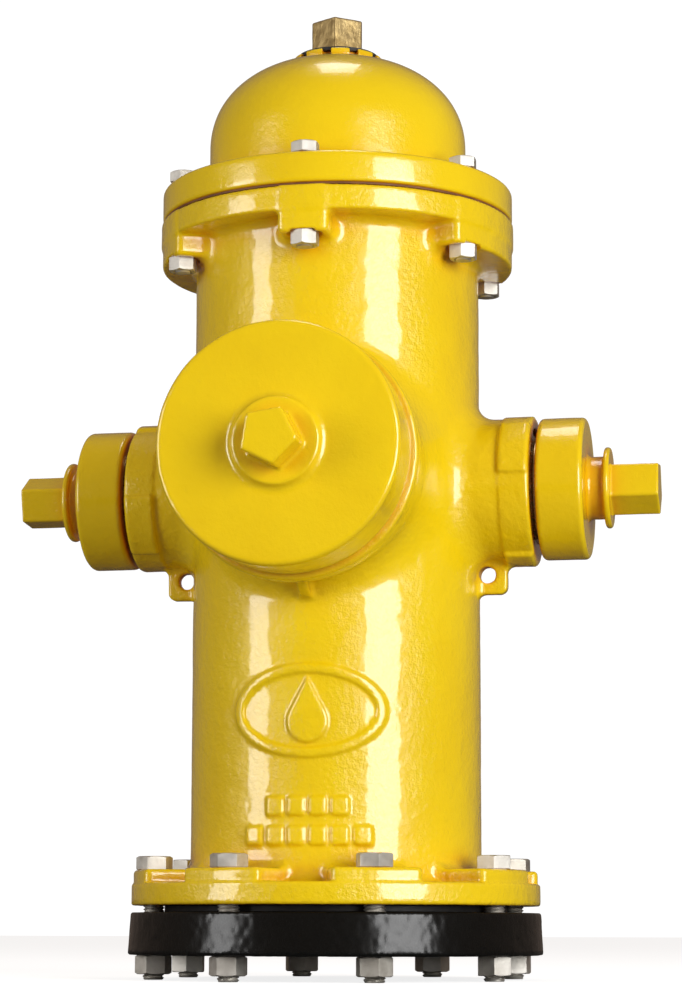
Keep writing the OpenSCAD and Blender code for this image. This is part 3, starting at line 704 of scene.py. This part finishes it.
def outline(corners, closed=True, spacing=3.0):
    """Points along a section through corners (radius, height, rounding), its sides divided."""
    count = len(corners)
    runs = []
    for i, (r, z, rounding) in enumerate(corners):
        corner = np.array((r, z), float)
        if rounding == 0 or (not closed and i in (0, count - 1)):
            runs.append([corner])
            continue
        before = np.array(corners[i - 1][:2], float) - corner
        after = np.array(corners[(i + 1) % count][:2], float) - corner
        before /= np.linalg.norm(before)
        after /= np.linalg.norm(after)
        half = math.acos(float(np.clip(before @ after, -1, 1))) / 2
        middle = (before + after) / np.linalg.norm(before + after)
        centre = corner + middle * rounding / math.sin(half)
        start = corner + before * rounding / math.tan(half) - centre
        end = corner + after * rounding / math.tan(half) - centre
        turn = math.atan2(start[0] * end[1] - start[1] * end[0], start @ end)
        steps = max(3, int(abs(turn) / 0.3))
        angles = [turn * k / steps for k in range(steps + 1)]
        runs.append([centre + (math.cos(t) * start[0] - math.sin(t) * start[1],
                               math.sin(t) * start[0] + math.cos(t) * start[1]) for t in angles])
    points = []
    for i, run in enumerate(runs):
        points += run
        if i == count - 1 and not closed:
            break
        a, b = run[-1], runs[(i + 1) % count][0]
        pieces = int(np.linalg.norm(b - a) / spacing)
        points += [a + (b - a) * k / (pieces + 1) for k in range(1, pieces + 1)]
    return np.array(points)


def turned(section, sides, closed=True, shape=None):
    """Spins a section about Z. shape(r, z, angle) bends its radii and heights. Faces look outward."""
    angle = np.arange(sides) * 2 * math.pi / sides
    r, z = np.broadcast_arrays(section[:, :1], angle[None]), np.broadcast_arrays(section[:, 1:], angle[None])
    r, z, t = r[0].copy(), z[0].copy(), r[1]
    if shape:
        r, z = shape(r, z, t)
    points = np.stack((r * np.cos(t), r * np.sin(t), z), -1).reshape(-1, 3)
    rows = len(section)
    i = np.arange(rows if closed else rows - 1)[:, None]
    j = np.arange(sides)[None]
    k, m = (i + 1) % rows, (j + 1) % sides
    faces = np.stack(np.broadcast_arrays(i * sides + j, i * sides + m, k * sides + m, k * sides + j), -1)
    return points, faces.reshape(-1, 4)


def copies(piece, places):
    """The piece once for each (angle, radius, height) around Z."""
    points, faces = piece
    all_points, all_faces = [], []
    for n, (angle, radius, height) in enumerate(places):
        c, s = math.cos(angle), math.sin(angle)
        x, y, z = (points + (radius, 0, height)).T
        all_points.append(np.stack((x * c - y * s, x * s + y * c, z), -1))
        all_faces.append(faces + n * len(points))
    return np.concatenate(all_points), np.concatenate(all_faces)


def polygon_reach(angle, sides, hardness):
    """How far a polygon with softened corners reaches, for a flat distance of 1."""
    total = sum(np.maximum(np.cos(angle - 2 * math.pi * k / sides), 0) ** hardness for k in range(sides))
    return total ** (-1 / hardness)


def hexed(across, low, high, both_ends=False):
    """A shape function: rows between low and high become a hexagon with chamfered corners."""
    def shape(r, z, t):
        inside = (z >= low - 1e-6) & (z <= high + 1e-6)
        flat = across / 2
        wide = r * np.where(r > flat * 0.72, polygon_reach(t + math.pi / 6, 6, 90), 1.0)
        drop = np.maximum(wide - flat * 0.98, 0) * math.tan(math.radians(30))
        tall = np.minimum(z, high - drop)
        if both_ends:
            tall = np.maximum(tall, low + drop)
        return np.where(inside, wide, r), np.where(inside, tall, z)
    return shape


def threaded(pitch, depth, low, high, major):
    """A shape function: a right-hand thread cut into the rows at the major radius between low and high."""
    def shape(r, z, t):
        wave = np.abs(((z / pitch - t / (2 * math.pi)) % 1.0) * 2 - 1)
        groove = np.clip(wave * 1.35 - 0.15, 0, 1) * depth
        fade = np.clip((z - low) / pitch, 0, 1) * np.clip((high - z) / pitch, 0, 1)
        return np.where(np.abs(r - major) < 0.02, r - groove * fade, r), z
    return shape


def both(first, second):
    """Two shape functions, one after the other."""
    return lambda r, z, t: second(*first(r, z, t), t)


def hex_bolt(radius, across, head_h, length, pitch, thread_h):
    """A bolt whose head stands on z = 0 and whose shank hangs down."""
    flat = across / 2
    shank = outline([(0, -length, 0), (radius - 1.2, -length, 0.4), (radius, -length + 1.3, 0)], False)
    thread = np.arange(-length + 1.5, -length + thread_h, pitch / 8)
    thread = np.stack((np.full_like(thread, radius), thread), -1)
    top = outline([(radius, -length + thread_h, 0), (radius, -0.02, 0), (radius + 0.01, 0, 0),
                   (flat * 0.96, 0, 0), (flat, 0.5, 0), (flat, head_h, 0.7), (flat * 0.74, head_h, 0),
                   (0, head_h, 0)], False, 1.0)
    section = np.concatenate((shank, thread, top))
    shape = both(threaded(pitch, pitch * 0.55, -length, -length + thread_h, radius), hexed(across, 0, head_h))
    return turned(section, 72, False, shape)


def hex_nut(radius, across, height):
    """A nut that hangs below z = 0."""
    flat = across / 2
    section = outline([(radius + 0.1, -height, 0.5), (flat * 0.74, -height, 0), (flat, -height, 0.5),
                       (flat, 0, 0.5), (flat * 0.74, 0, 0), (radius + 0.1, 0, 0)], True, 1.0)
    return turned(section, 72, True, hexed(across, -height, 0, True))


def make_gasket(name, node, material, outer, inner, low, high, edge, sides):
    """A flat ring with rounded edges."""
    corners = [(inner, low, edge), (outer, low, edge), (outer, high, edge), (inner, high, edge)]
    make_object(name, *turned(outline(corners), sides), material, "hydrant_body", "rubber", [node], None, 40)


# Base joint

BASE_BOLT_R = 7.94
BASE_ACROSS = 23.8
BASE_HEAD_H = 10.0
BASE_NUT_H = 14.0
BASE_BOLT_PITCH = 2.309
BASE_BOLT_END = node_box("base_bolts")[0][2]

bolt = hex_bolt(BASE_BOLT_R, BASE_ACROSS, BASE_HEAD_H, BASE_PAD_TOP - BASE_BOLT_END,
                BASE_BOLT_PITCH, 60)
bolt = copies(bolt, [(a, BASE_BOLT_CIRCLE_R, BASE_PAD_TOP) for a in BASE_BOLTS])
make_object("base_bolts_hex", *bolt, ZINC, "hydrant_body", "zinc", ["base_bolts"], None, 32)
nut = hex_nut(BASE_BOLT_R, BASE_ACROSS, BASE_NUT_H)
nut = copies(nut, [(a, BASE_BOLT_CIRCLE_R, 0) for a in BASE_BOLTS])
make_object("base_nuts_hex", *nut, ZINC, "hydrant_body", "zinc", ["base_nuts"], None, 32)


def ring_field(x, y, z):
    rho = np.hypot(x, y)
    side = rho - ring_high[0] + (z - 2) * 1.5 / 27
    d = meet(meet(side, slab(z, 0, ring_high[2]), 1.8), 108 - rho, 1.2)
    return holes(d, x, y, BASE_BOLTS, BASE_BOLT_CIRCLE_R, BASE_HOLE_R)


cast_object("break_ring_casting", ring_field, ring_low, ring_high, 1.7, RING_LAYERS,
            BLACK, "hydrant_body", "black_enamel", ["break_ring"])
gasket_low, gasket_high = node_box("base_gasket")
make_gasket("base_gasket_ring", "base_gasket", RUBBER, gasket_high[0], 112, gasket_low[2],
            gasket_high[2], 0.8, 160)

# Bonnet joint

BONNET_BOLT_R = 6.35
BONNET_ACROSS = 19.05
BONNET_HEAD_H = 8.4
BONNET_NUT_H = 11.1
BONNET_BOLT_PITCH = 1.954
BONNET_BOLT_END = node_box("bonnet_bolts")[0][2]

bolt = hex_bolt(BONNET_BOLT_R, BONNET_ACROSS, BONNET_HEAD_H, BONNET_FLANGE_TOP - BONNET_BOLT_END,
                BONNET_BOLT_PITCH, 34)
bolt = copies(bolt, [(a, BONNET_BOLT_CIRCLE_R, BONNET_FLANGE_TOP) for a in BONNET_BOLTS])
make_object("bonnet_bolts_hex", *bolt, ZINC, "hydrant_body", "zinc", ["bonnet_bolts"], None, 32)
nut = hex_nut(BONNET_BOLT_R, BONNET_ACROSS, BONNET_NUT_H)
nut = copies(nut, [(a, BONNET_BOLT_CIRCLE_R, SPOT_FACE_Z) for a in BONNET_BOLTS])
make_object("bonnet_nuts_hex", *nut, ZINC, "hydrant_body", "zinc", ["bonnet_nuts"], None, 32)
make_gasket("bonnet_gasket_ring", "bonnet_gasket", SEAM_RUBBER, SEAM_FLANGE_R - 0.4, GASKET_SEAT_R + 0.5,
            BARREL_TOP, BONNET_Z, 0.4, 240)

# ---- Outlets ----


def outlet_frame(side):
    """Turns local +Z to point out of an outlet: sides 1 and -1 are the hose outlets, 0 the pumper's."""
    if side:
        return Matrix.Translation((0, 0, HOSE_Z * MM)) @ Matrix.Rotation(math.radians(90 * side), 4, "Y")
    return Matrix.Translation((0, 0, PUMPER_Z * MM)) @ Matrix.Rotation(math.radians(90), 4, "X")


NOZZLE_DEPTH = 50.0
GROOVE_START = 8.0
GROOVE_WIDTH = 4.6
GROOVE_DEPTH = 4.0
LUG_DEPTH = 15.8
LUG_WIDTH = 9.6
LUG_HALF_ANGLE = 25.5


def nozzle(name, node, side, bore, thread_r, body_r, lug_r, face, end, pitch):
    """A bronze nozzle with an O-ring groove, three bayonet lugs and a male thread."""
    start = face - NOZZLE_DEPTH
    groove = start + GROOVE_START
    groove_end = groove + GROOVE_WIDTH
    groove_r = body_r - GROOVE_DEPTH
    lug_low = face - LUG_DEPTH
    lug_high = lug_low + LUG_WIDTH
    lower = outline([(bore, end, 0.8), (bore, start, 1.2), (body_r, start, 1.2), (body_r, groove, 0.4),
                     (groove_r, groove, 0.4), (groove_r, groove_end, 0.4), (body_r, groove_end, 0.4),
                     (body_r, lug_low - 0.4, 0)], False)
    lugs = np.array([(body_r, lug_low - 0.1), (lug_r, lug_low), (lug_r, lug_low + 3), (lug_r, lug_high - 3),
                     (lug_r, lug_high), (body_r, lug_high + 0.1)])
    neck = outline([(body_r, lug_high + 0.4, 0), (body_r, face - 1, 0.5), (thread_r - 1.5, face - 1, 0.5),
                    (thread_r - 1.5, face, 0), (thread_r, face + 1.5, 0)], False)
    thread = np.arange(face + 2, end - 2, pitch / 9)
    thread = np.stack((np.full_like(thread, thread_r), thread), -1)
    mouth = outline([(thread_r, end - 1.8, 0), (thread_r - 1.8, end, 0.5), (bore + 0.8, end, 0)], False)
    cut_thread = threaded(pitch, pitch * 0.58, face + 2, end - 1, thread_r)

    def shape(r, z, t):
        # Degrees from the nearest lug's middle
        third = np.abs(((np.degrees(t) + 60) % 120) - 60)
        lug = np.clip((LUG_HALF_ANGLE - third) / 1.5, 0, 1)
        r = np.where(r > lug_r - 0.1, body_r + (lug_r - body_r) * lug, r)
        return cut_thread(r, z, t)

    points, faces = turned(np.concatenate((lower, lugs, neck, thread, mouth)), 240, True, shape)
    make_object(name, points, faces, BRONZE, "hydrant_body", "bronze", [node], outlet_frame(side), 35)


HOSE_BORE, HOSE_THREAD_R, HOSE_BODY_R, HOSE_LUG_R, HOSE_PITCH = 31.75, 38.97, 40.9, 46.0, 3.387
HOSE_END = node_box("hose_nozzle_right")[1][0]
PUMPER_BORE, PUMPER_THREAD_R, PUMPER_BODY_R, PUMPER_LUG_R = 57.15, 73.16, 75.4, 80.8
PUMPER_END, PUMPER_PITCH = 203.0, 6.35

for side, word in ((1, "right"), (-1, "left")):
    nozzle("hose_nozzle_%s_threaded" % word, "hose_nozzle_" + word, side, HOSE_BORE, HOSE_THREAD_R,
           HOSE_BODY_R, HOSE_LUG_R, HOSE_FACE, HOSE_END, HOSE_PITCH)
nozzle("pumper_nozzle_threaded", "pumper_nozzle", 0, PUMPER_BORE, PUMPER_THREAD_R,
       PUMPER_BODY_R, PUMPER_LUG_R, PUMPER_FACE, PUMPER_END, PUMPER_PITCH)


# Caps

PENTAGON_R = 21.06
FLAT_R = PENTAGON_R * math.cos(math.radians(36))


def pentagon(x, y, turn, edge):
    """Distance to a five-sided prism whose first corner is at the given angle."""
    d = None
    for k in range(5):
        a = math.radians(turn + 36 + 72 * k)
        side = x * math.cos(a) + y * math.sin(a) - FLAT_R
        d = side if d is None else meet(d, side, edge)
    return d


def cap_field(radius, thread_r, back, end, floor_z, neck_r, neck_end, flare, collar, nut_end, turn):
    """A cap along local Z: a cup, a flared neck, a collar if it has one, and a five-sided nut."""
    def field(x, y, z):
        rho = np.hypot(x, y)
        d = disc(rho, z, radius, back, end, 3.6)
        d = join(d, disc(rho, z, neck_r, end - 12, neck_end, 1.4), flare)
        nut = meet(pentagon(x, y, turn, 1.6), slab(z, neck_end - 8, nut_end), 1.2)
        nut = meet(nut, rho - PENTAGON_R + 0.4 + (z - nut_end) * 0.5, 0.6)
        d = join(d, nut, 3.0)
        if collar:
            d = join(d, disc(rho, z, collar[0], neck_end, collar[1], 2.0), 1.6)
        cup = disc(rho, z, thread_r + 0.5, back - 20, floor_z, 1.5)
        mouth = rho - thread_r - 0.5 + (z - back - 2.0)
        return cut(cut(d, cup, 0.8), np.maximum(mouth, z - back - 2.0), 0.3)
    return field


def make_cap(name, node, side, body, field, radius, back, nut_end, voxel):
    points, quads = solid_mesh(field, (-radius, -radius, back), (radius, radius, nut_end), voxel)
    points = roughen(field, points, CAP_LAYERS)
    points[:, 2] = np.clip(points[:, 2], back, nut_end)
    make_object(name, points, quads, SMOOTH_CAST, body, "yellow_enamel", [node], outlet_frame(side))


HOSE_CAP_R = 53.5
HOSE_NECK_R = 23.6
HOSE_COLLAR_R = 30.5
HOSE_CAP_BACK = HOSE_FACE + 4.0
HOSE_CAP_END = HOSE_FACE + 39.1
HOSE_CAP_FLOOR = HOSE_FACE + 33.8
HOSE_NECK_END = HOSE_FACE + 52.0
HOSE_COLLAR_END = HOSE_NECK_END + 4.6
PUMPER_CAP_R = 86.6
PUMPER_CAP_BACK = 170.0
PUMPER_CAP_END = 217.4
PUMPER_CAP_FLOOR = 207.4
PUMPER_CAP_NECK_R = 30.5
PUMPER_CAP_NECK_END = 222.5
HOSE_NUT_END = node_box("hose_cap_right")[1][0]
PUMPER_NUT_END = -node_box("pumper_cap")[0][1]
for side, word, turn in ((1, "right", 6.0), (-1, "left", 4.4)):
    field = cap_field(HOSE_CAP_R, HOSE_THREAD_R, HOSE_CAP_BACK, HOSE_CAP_END, HOSE_CAP_FLOOR, HOSE_NECK_R,
                      HOSE_NECK_END, 4.0, (HOSE_COLLAR_R, HOSE_COLLAR_END), HOSE_NUT_END, turn)
    make_cap("hose_cap_%s_casting" % word, "hose_cap_" + word, side, word + "_hose_cap", field,
             HOSE_CAP_R, HOSE_CAP_BACK, HOSE_NUT_END, 1.0)
field = cap_field(PUMPER_CAP_R, PUMPER_THREAD_R, PUMPER_CAP_BACK, PUMPER_CAP_END, PUMPER_CAP_FLOOR,
                  PUMPER_CAP_NECK_R, PUMPER_CAP_NECK_END, 7.0, None, PUMPER_NUT_END, -9.2)
make_cap("pumper_cap_casting", "pumper_cap", 0, "pumper_cap_body", field,
         PUMPER_CAP_R, PUMPER_CAP_BACK, PUMPER_NUT_END, 1.3)


# ---- Operating gear ----

nut_low, nut_high = node_box("operating_nut")
hold_low, hold_high = node_box("hold_down_nut")
HOLD_DOWN_R = 32.6
CASTLE_R = 35.0
CASTLE_NOTCHES = 10
SEAL_POCKET_R = 32.0
HOLD_DOWN_BORES = (21.57, 25.57)


def hold_down_field(x, y, z):
    rho = np.hypot(x, y)
    top = hold_high[2]
    d = disc(rho, z, HOLD_DOWN_R, hold_low[2], top, 0.8)
    d = join(d, disc(rho, z, CASTLE_R, top - 6, top, 1.5), 0.5)
    for k in range(CASTLE_NOTCHES):
        u, v = along(x, y, math.radians(14 + 360 / CASTLE_NOTCHES * k))
        d = cut(d, np.maximum(meet(np.abs(v) - 3.5, 28.5 - u, 1.0), top - 7.5 - z), 0.8)
    d = np.maximum(d, -np.maximum(rho - SEAL_POCKET_R, top - 1.2 - z))
    bore_r, groove_r = HOLD_DOWN_BORES
    groove = np.maximum(rho - groove_r, slab(z, hold_low[2] + 5, hold_low[2] + 10))
    return np.maximum(d, -np.minimum(rho - bore_r, groove))


points, quads = solid_mesh(hold_down_field, hold_low, hold_high, 0.65)
points = roughen(hold_down_field, points, CASTLE_LAYERS)
points[:, 2] = np.clip(points[:, 2], hold_low[2], hold_high[2])
make_object("hold_down_nut_castle", points, quads, SMOOTH_CAST, "hydrant_body", "yellow_enamel",
            ["hold_down_nut"])


SLEEVE_R = 23.5
COLLAR_R = 29.5
COLLAR_LOW, COLLAR_HIGH = 658.1, 666.1
SPINDLE_R = 21.5
SPINDLE_LOW, SPINDLE_HIGH = 660.0, 695.0
STEM_BORE_R = 15.945
STEM_BORE_END = 693.0


def operating_nut_field(x, y, z):
    rho = np.hypot(x, y)
    top = nut_high[2]
    d = disc(rho, z, SLEEVE_R, nut_low[2], SPINDLE_LOW, 1.0)
    d = join(d, disc(rho, z, COLLAR_R, COLLAR_LOW, COLLAR_HIGH, 0.8), 0.6)
    d = join(d, disc(rho, z, SPINDLE_R, SPINDLE_LOW, SPINDLE_HIGH, 0.4), 0.6)
    head = meet(pentagon(x, y, -86.5, 1.3), slab(z, SPINDLE_HIGH - 0.8, top), 1.0)
    head = meet(head, rho - PENTAGON_R + 0.5 + (z - top) * 0.55, 0.8)
    d = np.minimum(d, head)
    return np.maximum(d, -disc(rho, z, STEM_BORE_R, nut_low[2] - 20, STEM_BORE_END, 0.5))


points, quads = solid_mesh(operating_nut_field, nut_low, nut_high, 0.8)
points = roughen(operating_nut_field, points, RAW_BRONZE_LAYERS)
points[:, 2] = np.clip(points[:, 2], nut_low[2], nut_high[2])
make_object("operating_nut_bronze", points, quads, RAW_BRONZE, "operating_nut_body", "raw_bronze",
            ["operating_nut"])

stem_low, stem_high = node_box("upper_stem")
STEM_R = stem_high[1]
STEM_THREAD_LOW = 600.0
STEM_PITCH = 4.2333


def make_stem():
    low, high = stem_low[2], stem_high[2]
    plain = outline([(0, low, 0), (STEM_R, low, 1.5), (STEM_R, STEM_THREAD_LOW, 0)], False, 12)
    thread = np.arange(STEM_THREAD_LOW + 0.5, high - 2, STEM_PITCH / 9)
    thread = np.stack((np.full_like(thread, STEM_R), thread), -1)
    tip = outline([(STEM_R, high - 1.8, 0), (STEM_R - 1.8, high, 0), (0, high, 0)], False)
    points, faces = turned(np.concatenate((plain, thread, tip)), 96, False,
                           threaded(STEM_PITCH, 2.0, STEM_THREAD_LOW, high, STEM_R))
    make_object("upper_stem_rod", points, faces, STEEL, "stem", "steel", ["upper_stem"], None, 35)


make_stem()


# ---- Pieces that keep their CAD shape and get a better material ----

def repaint(nodes, material):
    for node in nodes:
        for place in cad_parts[node].material_slots:
            place.material = material


repaint(["hose_nozzle_oring_right", "hose_nozzle_oring_left", "pumper_nozzle_oring", "seal_plate_oring",
         "stem_orings", "operating_nut_orings", "weather_seal", "hose_cap_gasket_right",
         "hose_cap_gasket_left", "pumper_cap_gasket"], RUBBER)
repaint(["stem_sleeve", "travel_stop_nut", "stem_coupling"], BRONZE)
repaint(["nozzle_lock_screws", "coupling_pin"], STEEL)
repaint(["cotter_pin"], ZINC)
repaint(["seal_plate"], IRON)
repaint(["lower_thrust_washer", "upper_thrust_washer"], WASHER)


# ---- Studio ----

def area_light(name, azimuth, elevation, distance, width, height, power, target):
    """A softbox that faces the hydrant. Azimuth 0 is in front of the pumper outlet, and 90 is at +X."""
    a, e = math.radians(azimuth), math.radians(elevation)
    direction = Vector((math.sin(a) * math.cos(e), -math.cos(a) * math.cos(e), math.sin(e)))
    data = bpy.data.lights.new(name, "AREA")
    data.shape = "RECTANGLE"
    data.size = width
    data.size_y = height
    data.energy = power
    light = bpy.data.objects.new(name, data)
    light.location = Vector(target) + direction * distance
    light.rotation_euler = direction.to_track_quat("Z", "Y").to_euler()
    bpy.context.scene.collection.objects.link(light)


def split_for_camera(tree, others, camera, surface):
    """Shows one shader to the camera and another to every other ray."""
    path = tree.nodes.new("ShaderNodeLightPath")
    mix = tree.nodes.new("ShaderNodeMixShader")
    tree.links.new(path.outputs["Is Camera Ray"], mix.inputs["Fac"])
    tree.links.new(others, mix.inputs[1])
    tree.links.new(camera, mix.inputs[2])
    tree.links.new(mix.outputs["Shader"], surface)


def background(tree, colour, strength):
    node = tree.nodes.new("ShaderNodeBackground")
    node.inputs["Color"].default_value = (*colour, 1)
    node.inputs["Strength"].default_value = strength
    return node.outputs["Background"]


def make_world():
    """White to the camera, and a dim warm fill for everything else."""
    world = bpy.data.worlds.new("studio")
    bpy.context.scene.world = world
    world.use_nodes = True
    tree = world.node_tree
    tree.nodes.clear()
    output = tree.nodes.new("ShaderNodeOutputWorld")
    seen = background(tree, (1, 1, 1), 1.05)
    fill = background(tree, (1.0, 0.76, 0.62), 0.20)
    split_for_camera(tree, fill, seen, output.inputs["Surface"])


def make_floor():
    """A pale floor that the bolt ends stand on, darker to every ray but the camera's."""
    size = 12.0
    z = cad_low.z
    mesh = bpy.data.meshes.new("floor")
    corners = [(-size, -size, z), (size, -size, z), (size, size, z), (-size, size, z)]
    mesh.from_pydata(corners, [], [(0, 1, 2, 3)])
    material, tree, shader = new_material("pale_floor")
    shade = ramp(tree, noise(tree, 3, 2, 0.5), [(0.3, (0.12, 0.115, 0.11)), (0.7, (0.15, 0.145, 0.14))])
    tree.links.new(shade, shader.inputs["Base Color"])
    shader.inputs["Roughness"].default_value = 0.8
    paper = tree.nodes.new("ShaderNodeBsdfDiffuse")
    white = ramp(tree, noise(tree, 3, 2, 0.5), [(0.3, (0.46, 0.46, 0.455)), (0.7, (0.48, 0.48, 0.475))])
    tree.links.new(white, paper.inputs["Color"])
    glow = tree.nodes.new("ShaderNodeEmission")
    glow.inputs["Strength"].default_value = 0.82
    lit_paper = tree.nodes.new("ShaderNodeAddShader")
    tree.links.new(paper.outputs["BSDF"], lit_paper.inputs[0])
    tree.links.new(glow.outputs["Emission"], lit_paper.inputs[1])
    surface = tree.nodes["Material Output"].inputs["Surface"]
    split_for_camera(tree, shader.outputs["BSDF"], lit_paper.outputs["Shader"], surface)
    mesh.materials.append(material)
    floor = bpy.data.objects.new("floor", mesh)
    bpy.context.scene.collection.objects.link(floor)


make_world()
make_floor()
area_light("key_softbox", 47, 0, 1.9, 0.9, 1.1, 34.5, (0, 0, 0.54))
area_light("fill_softbox", -51, 0, 2.0, 0.6, 1.1, 16.5, (0, 0, 0.54))
area_light("overhead_softbox", 191, 82, 2.4, 0.65, 1.0, 9, (0, 0, 0.5))
bpy.context.scene.view_settings.view_transform = "Standard"
